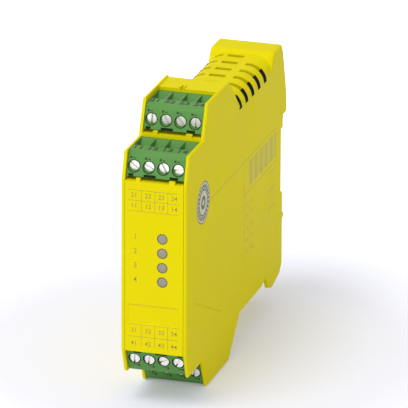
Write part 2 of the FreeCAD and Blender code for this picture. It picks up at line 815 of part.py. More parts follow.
def make_lamps():
    """Four status lamps on long leads that turn over to the board."""
    body = new_body("status_lamps")
    body.AllowCompound = True
    profile = new_sketch(body, "lens", "YZ_Plane", "lamp_x")
    edge = "lamp_low + 0.5 * lamp"
    add_loop(profile, [("0.2", "lamp_low"), ("0.2", "lamp_low + 0.3 * lamp"), ("0.9", edge),
                       ("5.4", edge), ("5.4", "lamp_low")])
    axis = sketch_line(profile, "0.2", "lamp_low", "5.4", "lamp_low")
    lens = body.newObject("PartDesign::Revolution", "lens_turn")
    lens.Profile = profile
    lens.ReferenceAxis = (profile, [axis])
    lens.Angle = 360
    doc.recompute()
    leads = []
    for sign in ("+", "-"):
        low = f"lamp_low {sign} 1.27 - 0.5 * lead"
        bend = [("lamp_x - 0.5 * lead", "5.4"), ("lamp_x + 0.5 * lead", "5.4"),
                ("lamp_x + 0.5 * lead", "8.3"), (BOARD_FACE, "8.3"),
                (BOARD_FACE, "8.3 - lead"), ("lamp_x - 0.5 * lead", "8.3 - lead")]
        leads.append(pad(body, top_sketch(body, "lead", low, bend), "lead", "lead_pad"))
    repeat(body, [lens] + leads, "Z_Axis", "3 * lamp_pitch", "4", "lamp_row")
    return body


def sketch_line(sketch, a1, b1, a2, b2):
    """A construction line, returned by the name that a revolution refers to."""
    line = Part.LineSegment(Vector(value(a1), value(b1), 0), Vector(value(a2), value(b2), 0))
    index = sketch.addGeometry(line, True)
    hold_point(sketch, index, 1, a1, b1)
    hold_point(sketch, index, 2, a2, b2)
    return "Axis0"


def make_pins():
    """Header pins: straight out of each header, then sideways into the board."""
    body = new_body("header_pins")
    body.AllowCompound = True
    tail = "0 - 0.5 * case_width + wall + gap"
    for row, (row_y, row_z, up) in PLUG_ROWS.items():
        low = row_z + (" + pin_z" if up > 0 else " - pin_z") + " - 0.5 * pin"
        loops = []
        for pole in range(int(size("poles"))):
            middle = f"{pole} * pole_pitch - 0.5 * poles * pole_pitch + 0.5 * pole_pitch"
            turn = f"{row_y} + pin_row + {pole} * pin_step"
            loops.append([
                (middle + " - 0.5 * pin", row_y + " + pin_tip"),
                (middle + " + 0.5 * pin", row_y + " + pin_tip"),
                (middle + " + 0.5 * pin", turn + " + pin"),
                (tail, turn + " + pin"),
                (tail, turn),
                (middle + " - 0.5 * pin", turn),
            ])
        pad(body, top_sketch(body, "pins_" + row, low, *loops), "pin", "pin_pad_" + row)
    return body


# ---------------------------------------------------------------- pluggable terminals
def place_row(body, row, x="0", y="0", z="0", spin=0):
    """Put a piece drawn in a plug's frame on its row; lower rows hang upside down."""
    row_y, row_z, up = PLUG_ROWS[row]
    body.Placement = Placement(Vector(0, 0, 0),
                               Rotation(Vector(0, 1, 0), (0 if up > 0 else 180) + spin))
    seat(body, x if up > 0 else "0 - " + flip(x), row_y + " + " + y,
         row_z + (" + " + z if up > 0 else " - " + flip(z)))


def pole_x(pole):
    return f"{pole} * pole_pitch - 0.5 * poles * pole_pitch + 0.5 * pole_pitch"


def make_plug(row):
    """Plug housing: leaning screw face, label step, wire funnels, cage and contact chambers."""
    body = doc.addObject("PartDesign::Body", "plug_" + row)
    body.Label = "plug_" + row
    place_row(body, row)
    outline = [
        ("0", "0"),
        ("face_lean", "face_high"),
        ("label_front", "plug_height"),
        ("plug_top", "plug_height"),
        ("plug_top", "overhang"),
        ("plug_neck", "overhang"),
        ("plug_neck", "stem_high"),
        ("plug_reach", "stem_high"),
        ("plug_reach", "0"),
    ]
    width = "case_width - 2 * wall - 3 * gap"
    pad(body, side_sketch(body, "outline", "0", outline), width, "block", symmetric=True)
    stem_half = "0.5 * case_width - wall - header_side - 2 * gap"
    trim = top_sketch(body, "stem_sides", "0",
                      rectangle(stem_half, "plug_neck", INNER, "plug_reach"),
                      rectangle("0 - " + flip(INNER), "plug_neck",
                                "0 - " + flip(stem_half), "plug_reach"))
    pocket(body, trim, "overhang - gap", "stem_trim", reverse=True)

    first = pole_x(0)
    throat = "cage_front + cage_length - cage_plate + 0.1"
    cuts = []
    funnel = [("8", "plug_height"), ("plug_top - 0.8", "plug_height"), (throat, "floor + 5"),
              (throat, "floor + 4.4"), ("bar_front + strip + gap", "floor + 4.4"),
              ("bar_front + strip + gap", "floor + 5"), ("8", "floor + 6")]
    cuts.append(pocket(body, side_sketch(body, "funnel", first, funnel), "pole_pitch - 0.8",
                       "funnel_cut", symmetric=True))
    chamber = rectangle("head_seat + seat_wall", "screw_z - 0.5 * cage_height - gap",
                        "cage_front + cage_length + 2 * gap", "screw_z + 0.5 * cage_height + gap")
    cuts.append(pocket(body, side_sketch(body, "chamber", first, chamber),
                       "cage_width + 0.2", "chamber_cut", symmetric=True))
    socket = [
        ("bar_front - gap", "floor"),
        ("plug_reach", "floor"),
        ("plug_reach", "floor + 2.8"),
        ("plug_neck + gap", "floor + 2.8"),
        ("plug_neck + gap", "floor + 1.4"),
        ("bar_front + strip + gap", "floor + 1.4"),
        ("bar_front + strip + gap", "strip_top + gap"),
        ("bar_front - gap", "strip_top + gap"),
    ]
    cuts.append(pocket(body, side_sketch(body, "socket", first, socket),
                       "strip_width + 2 * gap", "socket_cut", symmetric=True))
    bores = new_sketch(body, "bore", "XZ_Plane", "0")
    add_circle(bores, first, "screw_z", "head + 0.3")
    cuts.append(pocket(body, bores, "head_seat", "head_bore"))
    necks = front_sketch(body, "neck", "0", octagon(first, "screw_z", "neck"))
    cuts.append(pocket(body, necks, "head_seat + 2 * seat_wall", "neck_bore"))
    repeat(body, cuts, "X_Axis", "poles * pole_pitch - pole_pitch", "poles", "pole_row")
    return body


def make_contacts(row):
    """Four contacts of one plug: a bar through the clamp and a fork for the header pin."""
    body = doc.addObject("PartDesign::Body", "contacts_" + row)
    body.Label = "contacts_" + row
    body.AllowCompound = True
    place_row(body, row)
    low = "floor + 0.05"
    fork = "pin_z - 0.5 * pin - 0.2"
    strip = [
        ("bar_front", low),
        ("socket_end", low),
        ("socket_end", fork),
        ("plug_neck + 1.1", fork),
        ("plug_neck + 1.1", "pin_z + 0.5 * pin + 0.2"),
        ("socket_end", "pin_z + 0.5 * pin + 0.2"),
        ("socket_end", "pin_z + 0.5 * pin + 0.8"),
        ("plug_neck + 0.5", "pin_z + 0.5 * pin + 0.8"),
        ("plug_neck + 0.5", fork),
        ("bar_front + strip", fork),
        ("bar_front + strip", "strip_top"),
        ("bar_front", "strip_top"),
    ]
    first = pad(body, side_sketch(body, "strip", pole_x(0), strip), "strip_width", "strip_pad",
                symmetric=True)
    repeat(body, [first], "X_Axis", "poles * pole_pitch - pole_pitch", "poles", "contact_row")
    return body


def make_header(row):
    """Shroud on the tray that the plug's stem slides into."""
    body = doc.addObject("PartDesign::Body", "header_" + row)
    body.Label = "header_" + row
    place_row(body, row)
    half = INNER + " - 0.5 * gap"
    mouth = "plug_neck + 2 * gap"
    block = top_sketch(body, "block", "front_high - plug_z",
                       rectangle("0 - " + flip(half), mouth, half, "header_back"))
    pad(body, block, "overhang - 2 * gap - front_high + plug_z", "block_pad")
    inner = INNER + " - header_side - gap"
    cavity = front_sketch(body, "cavity", mouth,
                          rectangle("0 - " + flip(inner), "0 - gap", inner, "stem_high + 2 * gap"))
    pocket(body, cavity, "header_back - header_wall - plug_neck - 2 * gap", "cavity_cut")
    x = pole_x(0)
    hole = front_sketch(body, "pin_hole", mouth,
                        rectangle(x + " - 0.55 * pin", "pin_z - 0.55 * pin",
                                  x + " + 0.55 * pin", "pin_z + 0.55 * pin"))
    cut = pocket(body, hole, "header_back - plug_neck", "pin_hole_cut")
    repeat(body, [cut], "X_Axis", "poles * pole_pitch - pole_pitch", "poles", "pin_hole_row")
    return body


def make_screw(row, pole, spin):
    """Slotted clamping screw, captive between the plug's head bore and its cage."""
    label = f"screw_{row}_{pole + 1}"
    body = doc.addObject("PartDesign::Body", label)
    body.Label = label
    place_row(body, row, pole_x(pole), "0", "screw_z", spin)
    profile = new_sketch(body, "turned_profile", "YZ_Plane", "0")
    top = "head_seat - head_depth"
    add_loop(profile, [(top, "0"), (top, "0.5 * head"), ("head_seat", "0.5 * head"),
                       ("head_seat", "0.5 * shank"), ("shank_end", "0.5 * shank"),
                       ("shank_end", "0")])
    turn = body.newObject("PartDesign::Revolution", "turn")
    turn.Profile = profile
    turn.ReferenceAxis = (profile, ["H_Axis"])
    turn.Angle = 360
    doc.recompute()
    slot = front_sketch(body, "driver_slot", top,
                        rectangle("0 - 0.5 * slot", "0 - head", "0.5 * slot", "head"))
    pocket(body, slot, "0.5 * head_depth", "slot_cut")
    return body


def make_clamp(row, pole):
    """Rising cage: the screw draws it towards its head and presses the wire on the bar."""
    label = f"clamp_{row}_{pole + 1}"
    body = doc.addObject("PartDesign::Body", label)
    body.Label = label
    place_row(body, row, pole_x(pole), "0", "screw_z")
    outer = rectangle("0 - 0.5 * cage_width", "cage_front",
                      "0.5 * cage_width", "cage_front + cage_length")
    inner = rectangle("0 - 0.5 * cage_width + cage_side", "cage_front + cage_plate",
                      "0.5 * cage_width - cage_side", "cage_front + cage_length - cage_plate")
    sleeve = new_sketch(body, "sleeve", "XY_Plane", "0")
    add_loop(sketch=sleeve, points=outer)
    add_loop(sketch=sleeve, points=inner)
    pad(body, sleeve, "cage_height", "sleeve_pad", symmetric=True)
    thread = front_sketch(body, "thread", "cage_front", octagon("0", "0", "thread"))
    pocket(body, thread, "cage_plate", "thread_cut")
    return body


SLOT_ANGLES = {
    "upper_front": (-52, -60, -28, 78),
    "upper_rear": (4, -24, -40, 2),
    "lower_front": (30, 62, 10, 4),
    "lower_rear": (20, -35, 50, -10),
}


def build():
    parts = [make_housing(), make_cover(), make_panel(), make_latch(), make_spring(),
             make_board(),
             make_relay("relay_lower", "mirror - 1.5 - relay_width"),
             make_relay("relay_upper", "mirror + 1.5"),
             make_round_parts("power_capacitors", [("relay_y - 11", "mirror + 11"),
                                                   ("relay_y - 11", "mirror - 11")],
                              "cap", "cap_height"),
             make_round_parts("power_choke", [("relay_y - 24", "mirror")], "choke", "choke_height",
                              "0.4 * choke"),
             make_round_parts("input_fuse", [("relay_y - 8", "plug_z - 3.3")], "fuse", "fuse"),
             make_chips(), make_lamps(), make_pins()]
    for row in PLUG_ROWS:
        parts += [make_header(row), make_plug(row), make_contacts(row)]
        for pole, spin in enumerate(SLOT_ANGLES[row]):
            parts += [make_screw(row, pole, spin), make_clamp(row, pole)]
    return parts


def check(parts):
    """Stop if any object failed or any sub-part has no sound solid."""
    doc.recompute()
    for item in doc.Objects:
        if "Invalid" in item.State or "Error" in item.State:
            raise RuntimeError(f"{item.Label} failed: {item.State}")
    for item in parts:
        shape = item.Shape
        if shape.isNull() or not shape.isValid() or not shape.Solids:
            raise RuntimeError(f"{item.Label} has no valid solid")


fill_sheet()
pieces = build()
check(pieces)
os.makedirs("parts", exist_ok=True)
for piece in pieces:
    piece.Shape.exportStep(f"parts/{piece.Label}.step")
print(len(pieces), "sub-parts,", sum(len(piece.Shape.Solids) for piece in pieces), "solids")
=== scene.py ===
import json
import math

import bpy
from mathutils import Matrix, Vector


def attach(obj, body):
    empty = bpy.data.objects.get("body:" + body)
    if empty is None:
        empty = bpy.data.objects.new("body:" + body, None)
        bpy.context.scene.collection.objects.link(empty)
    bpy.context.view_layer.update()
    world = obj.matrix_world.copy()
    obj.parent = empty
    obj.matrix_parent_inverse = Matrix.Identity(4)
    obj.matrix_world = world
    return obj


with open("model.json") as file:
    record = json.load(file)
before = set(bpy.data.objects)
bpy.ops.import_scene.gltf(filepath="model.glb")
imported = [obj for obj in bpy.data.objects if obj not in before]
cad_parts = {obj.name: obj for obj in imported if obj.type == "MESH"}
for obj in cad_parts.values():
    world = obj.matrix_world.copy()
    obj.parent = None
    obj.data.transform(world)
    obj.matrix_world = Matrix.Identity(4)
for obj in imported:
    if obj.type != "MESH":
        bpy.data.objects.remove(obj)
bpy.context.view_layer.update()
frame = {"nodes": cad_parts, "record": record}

MM = 0.001
RAIL_DEPTH, RAIL_HEIGHT = 110.4, 48.8      # case datum to the rail's front plane, in mm
WALL_FACE = 11.25                          # half the case width
MIDDLE_DEPTH = 55.0                        # where lamps and the floor's glow are centred

VENT_ROWS, VENT_FIRST, VENT_PITCH = 5, 59.8, 7.15
# painted shade in the vent slots: strip width in mm, then its span up the shoulder
SLOT_SHADE_WIDTH = 2.7
SHOULDER_RADIUS, SHOULDER_HEIGHT = 6.0, 85.2
SLOT_SHADE_FROM, SLOT_SHADE_SWEEP = 2, 46            # degrees up the shoulder's curve

POLES = (-7.5, -2.5, 2.5, 7.5)
FACE_LEAN = math.atan2(2.39, 6.5)          # how far the screw faces lean back
SCREW_RISE = 3.14                          # screw axis above the plug's lower corner
MARK_RISE = 5.75                           # driver marks above the same corner
RECESS_RISE = 0.46
NUMBER_DEPTH, NUMBER_RISE = 5.75, 8.02     # printed number on the plug's top
ROWS = {                                   # plug corner, which way it hangs, its first number
    "upper_front": (1.47, 79.3, 1, 11),
    "upper_rear": (19.87, 89.4, 1, 21),
    "lower_front": (1.47, 18.7, -1, 31),
    "lower_rear": (19.87, 8.6, -1, 41),
}

LAMP_X, LAMP_LOW, LAMP_PITCH, LAMPS = 2.85, 44.1, 5, 4
LAMP_TEXT_X, LAMP_TEXT_TOP = -6.4, 59.1
PANEL_FACE = -0.005                        # print stands this far proud of the front
TABLE_COLUMNS = (-4.3, 0.3, 4.7)
NUMBER_COLUMNS = (-6.8, -2.0, 2.5, 6.9)
INK = 0.02                                 # thickness of a printed line

SEAL_Y, SEAL_Z, SEAL_RADIUS = 17.9, 66.6, 7.25
SEAL_RINGS = ((6.85, 7.2), (4.1, 4.6), (1.1, 2.3))
SEAL_TICKS, TICK_RADIUS = 24, 5.55


def at(x, y, z):
    """A place in the case datum, in mm, as the frame's metres."""
    return Vector((x * MM, (y - RAIL_DEPTH) * MM, (z - RAIL_HEIGHT) * MM))


# ---------------------------------------------------------------- shader groups
def new_group(name, inputs, outputs):
    group = bpy.data.node_groups.new(name, "ShaderNodeTree")
    for label, kind, value in inputs:
        socket = group.interface.new_socket(label, in_out="INPUT", socket_type=kind)
        socket.default_value = value
    for label, kind in outputs:
        group.interface.new_socket(label, in_out="OUTPUT", socket_type=kind)
    return group, group.nodes.new("NodeGroupInput"), group.nodes.new("NodeGroupOutput")


def maths(tree, kind, a, b):
    node = tree.nodes.new("ShaderNodeMath")
    node.operation = kind
    for socket, value in zip(node.inputs, (a, b)):
        if isinstance(value, (int, float)):
            socket.default_value = value
        else:
            tree.links.new(value, socket)
    return node.outputs[0]


def noise(tree, coords, scale, detail=3.0):
    node = tree.nodes.new("ShaderNodeTexNoise")
    node.inputs["Detail"].default_value = detail
    tree.links.new(coords, node.inputs["Vector"])
    if isinstance(scale, (int, float)):
        node.inputs["Scale"].default_value = scale
    else:
        tree.links.new(scale, node.inputs["Scale"])
    return node.outputs["Fac"]


def blend_colour(tree, factor, first, second, mode="MIX"):
    node = tree.nodes.new("ShaderNodeMix")
    node.data_type = "RGBA"
    node.blend_type = mode
    for name, value in (("Factor_Float", factor), ("A_Color", first), ("B_Color", second)):
        socket = next(s for s in node.inputs if s.identifier == name)
        if isinstance(value, (int, float, tuple)):
            socket.default_value = value
        else:
            tree.links.new(value, socket)
    return next(s for s in node.outputs if s.identifier == "Result_Color")


def build_moulded_skin():
    """Spark-eroded mould texture: fine pebble grain, soft colour drift, handled sheen."""
    tree, given, result = new_group(
        "moulded_skin",
        [("Color", "NodeSocketColor", (0.8, 0.8, 0.8, 1)), ("Drift", "NodeSocketFloat", 0.05),
         ("Grain Scale", "NodeSocketFloat", 5200.0), ("Grain", "NodeSocketFloat", 0.25),
         ("Roughness", "NodeSocketFloat", 0.45)],
        [("Color", "NodeSocketColor"), ("Roughness", "NodeSocketFloat"),
         ("Normal", "NodeSocketVector")])
    coords = tree.nodes.new("ShaderNodeTexCoord").outputs["Object"]
    broad = noise(tree, coords, 38.0, 4.0)
    fine = noise(tree, coords, given.outputs["Grain Scale"], 2.0)
    shade = maths(tree, "MULTIPLY", maths(tree, "SUBTRACT", broad, 0.5), given.outputs["Drift"])
    tone = maths(tree, "ADD", maths(tree, "MULTIPLY", shade, 2.0), 1.0)
    grey = tree.nodes.new("ShaderNodeCombineColor")
    for socket in grey.inputs:
        tree.links.new(tone, socket)
    tree.links.new(blend_colour(tree, 1.0, given.outputs["Color"], grey.outputs[0], "MULTIPLY"),
                   result.inputs["Color"])
    sheen = maths(tree, "MULTIPLY", maths(tree, "SUBTRACT", broad, 0.5), 0.22)
    tree.links.new(maths(tree, "ADD", given.outputs["Roughness"], sheen),
                   result.inputs["Roughness"])
    bump = tree.nodes.new("ShaderNodeBump")
    bump.inputs["Distance"].default_value = 0.00002
    tree.links.new(given.outputs["Grain"], bump.inputs["Strength"])
    tree.links.new(fine, bump.inputs["Height"])
    tree.links.new(bump.outputs[0], result.inputs["Normal"])
    return tree


def build_plated_metal():
    """Turned and plated metal: tool marks, faint tarnish and small scratches."""
    tree, given, result = new_group(
        "plated_metal",
        [("Color", "NodeSocketColor", (0.8, 0.8, 0.8, 1)),
         ("Tarnish", "NodeSocketColor", (0.5, 0.45, 0.35, 1)),
         ("Amount", "NodeSocketFloat", 0.3), ("Roughness", "NodeSocketFloat", 0.3)],
        [("Color", "NodeSocketColor"), ("Roughness", "NodeSocketFloat"),
         ("Normal", "NodeSocketVector")])
    coords = tree.nodes.new("ShaderNodeTexCoord").outputs["Object"]
    stain = noise(tree, coords, 900.0, 4.0)
    stretch = tree.nodes.new("ShaderNodeMapping")
    stretch.inputs["Scale"].default_value = (1.0, 1.0, 14.0)
    tree.links.new(coords, stretch.inputs["Vector"])
    marks = noise(tree, stretch.outputs[0], 2600.0, 2.0)
    factor = maths(tree, "MULTIPLY", stain, given.outputs["Amount"])
    tree.links.new(blend_colour(tree, factor, given.outputs["Color"], given.outputs["Tarnish"]),
                   result.inputs["Color"])
    wear = maths(tree, "MULTIPLY", maths(tree, "SUBTRACT", stain, 0.5), 0.3)
    tree.links.new(maths(tree, "ADD", given.outputs["Roughness"], wear),
                   result.inputs["Roughness"])
    bump = tree.nodes.new("ShaderNodeBump")
    bump.inputs["Distance"].default_value = 0.00001
    bump.inputs["Strength"].default_value = 0.3
    tree.links.new(marks, bump.inputs["Height"])
    tree.links.new(bump.outputs[0], result.inputs["Normal"])
    return tree


MOULDED_SKIN = build_moulded_skin()
PLATED_METAL = build_plated_metal()


# ---------------------------------------------------------------- finishes
def finish(name, group, **values):
    """A material whose colour, roughness and grain come from one of the shared groups."""
    shader_inputs = {k: values.pop(k) for k in list(values) if k.startswith("shader_")}
    material = bpy.data.materials.new(name)
    material.use_nodes = True
    tree = material.node_tree
    shader = tree.nodes["Principled BSDF"]
    surface = tree.nodes.new("ShaderNodeGroup")
    surface.node_tree = group
    for key, value in values.items():
        surface.inputs[key.replace("_", " ")].default_value = value
    tree.links.new(surface.outputs["Color"], shader.inputs["Base Color"])
    tree.links.new(surface.outputs["Roughness"], shader.inputs["Roughness"])
    tree.links.new(surface.outputs["Normal"], shader.inputs["Normal"])
    if group is PLATED_METAL:
        shader.inputs["Metallic"].default_value = 1.0
    for key, value in shader_inputs.items():
        shader.inputs[key.removeprefix("shader_").replace("_", " ")].default_value = value
    return material


YELLOW = finish("yellow_moulding", MOULDED_SKIN, Color=(0.86, 0.74, 0.004, 1), Drift=0.035,
                Grain=0.22, Grain_Scale=5200.0, Roughness=0.46, shader_Specular_IOR_Level=0.02)
GREEN = finish("green_terminal_moulding", MOULDED_SKIN, Color=(0.10, 0.29, 0.055, 1), Drift=0.08,
               Grain=0.18, Grain_Scale=7000.0, Roughness=0.46, shader_Specular_IOR_Level=0.25)
ZINC = finish("zinc_plate", PLATED_METAL, Color=(0.83, 0.82, 0.79, 1),
              Tarnish=(0.55, 0.50, 0.38, 1), Amount=0.45, Roughness=0.34)
TIN = finish("tinned_brass", PLATED_METAL, Color=(0.80, 0.78, 0.72, 1),
             Tarnish=(0.62, 0.48, 0.22, 1), Amount=0.4, Roughness=0.3)
SPRING = finish("bright_spring_strip", PLATED_METAL, Color=(0.6, 0.6, 0.6, 1),
                Tarnish=(0.3, 0.27, 0.22, 1), Amount=0.3, Roughness=0.28)
CAN = finish("capacitor_sleeve", MOULDED_SKIN, Color=(0.05, 0.06, 0.09, 1), Drift=0.1,
             Grain=0.05, Grain_Scale=3000.0, Roughness=0.3)
BLACK = finish("black_component_case", MOULDED_SKIN, Color=(0.018, 0.018, 0.02, 1), Drift=0.15,
               Grain=0.25, Grain_Scale=6000.0, Roughness=0.5)
BOARD = finish("solder_mask", MOULDED_SKIN, Color=(0.02, 0.13, 0.045, 1), Drift=0.2,
               Grain=0.1, Grain_Scale=2600.0, Roughness=0.33)
LENS = finish("milky_lens", MOULDED_SKIN, Color=(0.42, 0.41, 0.37, 1), Drift=0.25,
              Grain=0.05, Grain_Scale=2500.0, Roughness=0.25, shader_Coat_Weight=0.3,
              shader_Subsurface_Weight=0.1)
DARK_INK = finish("terminal_ink", MOULDED_SKIN, Color=(0.012, 0.035, 0.012, 1), Drift=0.3,
                  Grain=0.1, Grain_Scale=9000.0, Roughness=0.6)
PANEL_INK = finish("panel_ink", MOULDED_SKIN, Color=(0.42, 0.34, 0.03, 1), Drift=0.3,
                   Grain=0.1, Grain_Scale=9000.0, Roughness=0.55)
FAINT_INK = finish("side_ink", MOULDED_SKIN, Color=(0.52, 0.43, 0.02, 1), Drift=0.3,
                   Grain=0.1, Grain_Scale=9000.0, Roughness=0.5)
SEAL_DARK = finish("seal_ink", MOULDED_SKIN, Color=(0.035, 0.05, 0.03, 1), Drift=0.3,
                   Grain=0.1, Grain_Scale=9000.0, Roughness=0.5)
SEAL_PALE = finish("seal_ground", MOULDED_SKIN, Color=(0.62, 0.60, 0.38, 1), Drift=0.15,
                   Grain=0.1, Grain_Scale=9000.0, Roughness=0.5)
# painted shade: near-black for the shaded insides of the vent slots
VENT_SLOT_SHADE = finish("vent_slot_painted_shade", MOULDED_SKIN, Color=(0.008, 0.008, 0.007, 1), Drift=0.2,
                   Grain=0.4, Grain_Scale=2400.0, Roughness=0.85, shader_Specular_IOR_Level=0.05)
# painted shade: near-black green for the shadow rings round the screw heads and the shade in the
# coding recess openings
PAINTED_RECESS_SHADE = finish("painted_well_and_recess_shade", MOULDED_SKIN, Color=(0.008, 0.022, 0.008, 1), Drift=0.2,
                   Grain=0.2, Grain_Scale=6000.0, Roughness=0.8, shader_Specular_IOR_Level=0.1)
WINDOW = finish("lamp_window", MOULDED_SKIN, Color=(0.30, 0.285, 0.21, 1), Drift=0.3,
                Grain=0.3, Grain_Scale=3500.0, Roughness=0.35, shader_Coat_Weight=0.2)
# painted shade: dark yellow-brown for the shaded edge of each lamp hole
WINDOW_EDGE_SHADE = finish("lamp_window_edge_shade", MOULDED_SKIN, Color=(0.16, 0.145, 0.07, 1), Drift=0.2,
                    Grain=0.2, Grain_Scale=5000.0, Roughness=0.5)

BY_SLOT = {"case_plastic": YELLOW, "terminal_plastic": GREEN, "zinc_steel": ZINC,
           "spring_steel": SPRING, "tinned_brass": TIN, "board": BOARD, "dark_plastic": BLACK,
           "can_aluminium": CAN, "lens": LENS}


# ---------------------------------------------------------------- hands
def deselect():
    bpy.ops.object.select_all(action="DESELECT")


def pick(*objects):
    deselect()
    for item in objects:
        item.select_set(True)
    bpy.context.view_layer.objects.active = objects[-1]


def settle(piece, name, material, body):
    """Put the piece's place into its mesh, name it, coat it and let it ride on its body."""
    pick(piece)
    bpy.ops.object.transform_apply(location=True, rotation=True, scale=True)
    piece.name = name
    piece.data.name = name
    piece.data.materials.clear()
    piece.data.materials.append(material)
    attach(piece, body)
    return piece


def join(pieces, name, material, body):
    pick(*pieces)
    bpy.ops.object.join()
    return settle(bpy.context.view_layer.objects.active, name, material, body)


def numeral(text, height, place, turn, weight=0.015):
    """A printed number as a thin raised mesh, centred on its place."""
    deselect()
    bpy.ops.object.text_add()
    item = bpy.context.active_object
    item.data.body = text
    item.data.size = height * 1.4 * MM
    item.data.align_x = "CENTER"
    item.data.align_y = "CENTER"
    item.data.extrude = 0.012 * MM
    item.data.resolution_u = 3
    item.data.offset = weight * MM
    bpy.ops.object.convert(target="MESH")
    item = bpy.context.active_object
    item.matrix_world = Matrix.Translation(place) @ turn
    bpy.ops.object.transform_apply(location=True, rotation=True, scale=True)
    return item


def strip(size, place, turn):
    """A printed line: a thin plate with softened corners."""
    deselect()
    bpy.ops.mesh.primitive_cube_add(size=1.0)
    item = bpy.context.active_object
    item.matrix_world = Matrix.Translation(place) @ turn @ Matrix.Diagonal(
        (size[0] * MM, size[1] * MM, size[2] * MM, 1.0))
    bpy.ops.object.transform_apply(location=True, rotation=True, scale=True)
    bpy.ops.object.mode_set(mode="EDIT")
    bpy.ops.mesh.select_all(action="SELECT")
    bpy.ops.mesh.bevel(offset=0.2 * min(size) * MM, segments=1)
    bpy.ops.object.mode_set(mode="OBJECT")
    return item


UPRIGHT = Matrix.Rotation(math.pi / 2, 4, "X")                 # print that faces the operator
ON_SIDE = Matrix.Rotation(math.pi / 2, 4, "Z") @ UPRIGHT        # print on the right-hand side


# ---------------------------------------------------------------- carried-over mouldings and metal
EDGE_SOFTNESS = {"case_plastic": 0.16, "terminal_plastic": 0.12, "zinc_steel": 0.08,
                 "dark_plastic": 0.1, "lens": 0.1}


def dress_nodes():
    """Give every CAD piece its finish and the small radii that its edges have."""
    slots = {entry["node"]: entry["material_slot"] for entry in frame["record"]["subparts"]}
    for name, node in frame["nodes"].items():
        slot = slots[name]
        node.data.materials.clear()
        node.data.materials.append(BY_SLOT[slot])
        radius = EDGE_SOFTNESS.get(slot)
        if radius:
            merge = node.modifiers.new("merge", "WELD")
            merge.merge_threshold = 0.000001
            if slot == "case_plastic":
                facets = node.modifiers.new("facets", "DECIMATE")
                facets.decimate_type = "DISSOLVE"
                facets.angle_limit = math.radians(0.5)
            soft = node.modifiers.new("soft_edges", "BEVEL")
            soft.width = radius * MM
            soft.segments = 2
            soft.limit_method = "ANGLE"
            soft.angle_limit = math.radians(38)
            soft.miter_outer = "MITER_ARC"


# ---------------------------------------------------------------- print, painted well shadows and painted recess shade on the terminals
def ring(inner, outer, thick, place, turn, segments=48):
    """A flat ring, made by extruding a circle inwards and then along its axis."""
    deselect()
    bpy.ops.mesh.primitive_circle_add(vertices=segments, radius=outer * MM)
    item = bpy.context.active_object
    bpy.ops.object.mode_set(mode="EDIT")
    bpy.ops.mesh.select_all(action="SELECT")
    bpy.ops.mesh.extrude_region_move()
    bpy.ops.transform.resize(value=(inner / outer, inner / outer, 1.0))
    bpy.ops.mesh.select_all(action="SELECT")
    bpy.ops.mesh.extrude_region_move(TRANSFORM_OT_translate={"value": (0, 0, thick * MM)})
    bpy.ops.mesh.select_all(action="SELECT")
    bpy.ops.mesh.normals_make_consistent(inside=False)
    bpy.ops.object.mode_set(mode="OBJECT")
    item.matrix_world = Matrix.Translation(place) @ turn
    bpy.ops.object.transform_apply(location=True, rotation=True, scale=True)
    return item


def on_face(x, rise, y, z, up, lift):
    """A place on a plug's leaning face, lift mm proud of it; the lower rows are turned over."""
    return at(x * up, y + rise * math.tan(FACE_LEAN) - lift, z + rise * up)


def terminal_print(row):
    """Pole numbers, driver marks, painted shade in each coding recess and painted shadow rings
    round each screw well.
    """
    y, z, up, first = ROWS[row]
    hang = Matrix.Identity(4) if up > 0 else Matrix.Rotation(math.pi, 4, "Y")
    lean = hang @ Matrix.Rotation(math.pi / 2 - FACE_LEAN, 4, "X")
    body = "terminal_" + row
    numbers, marks = [], []
    for pole, x in enumerate(POLES):
        place = at(x * up - 0.2, y + NUMBER_DEPTH, z + NUMBER_RISE * up)
        numbers.append(numeral(str(first + pole), 2.75, place, hang, 0.09))
        for shift, rise, width, tall in ((-1.35, MARK_RISE, 0.75, 0.75),
                                         (-0.25, MARK_RISE - 0.1, 0.95, 0.3)):
            place = on_face(x + shift, rise, y, z, up, 0.01)
            marks.append(strip((width, tall, 0.03), place, lean))
    # painted shadow: a dark ring round each screw head, set a little to the left where the bore's
    # shade falls
    well_shadow_rings = [ring(1.86, 2.14, 0.02, on_face(x - 0.1, SCREW_RISE, y, z, up, 0.03), lean)
             for x in POLES]
    join(well_shadow_rings, "screw_well_shadow_rings_" + row, PAINTED_RECESS_SHADE, body)
    # painted shade: flat dark strips on the face where the coding recess openings lie in shade
    recess_shade_strips = [strip((wide, 0.85, 0.03), on_face(x, RECESS_RISE, y, z, up, 0.01), lean)
                for x, wide in ((-8.4, 1.7), (-2.0, 4.1), (6.2, 2.9))]
    join(recess_shade_strips, "coding_recess_shade_strips_" + row, PAINTED_RECESS_SHADE, body)
    join(numbers, "terminal_numbers_" + row, DARK_INK, body)
    join(marks, "driver_marks_" + row, DARK_INK, body)


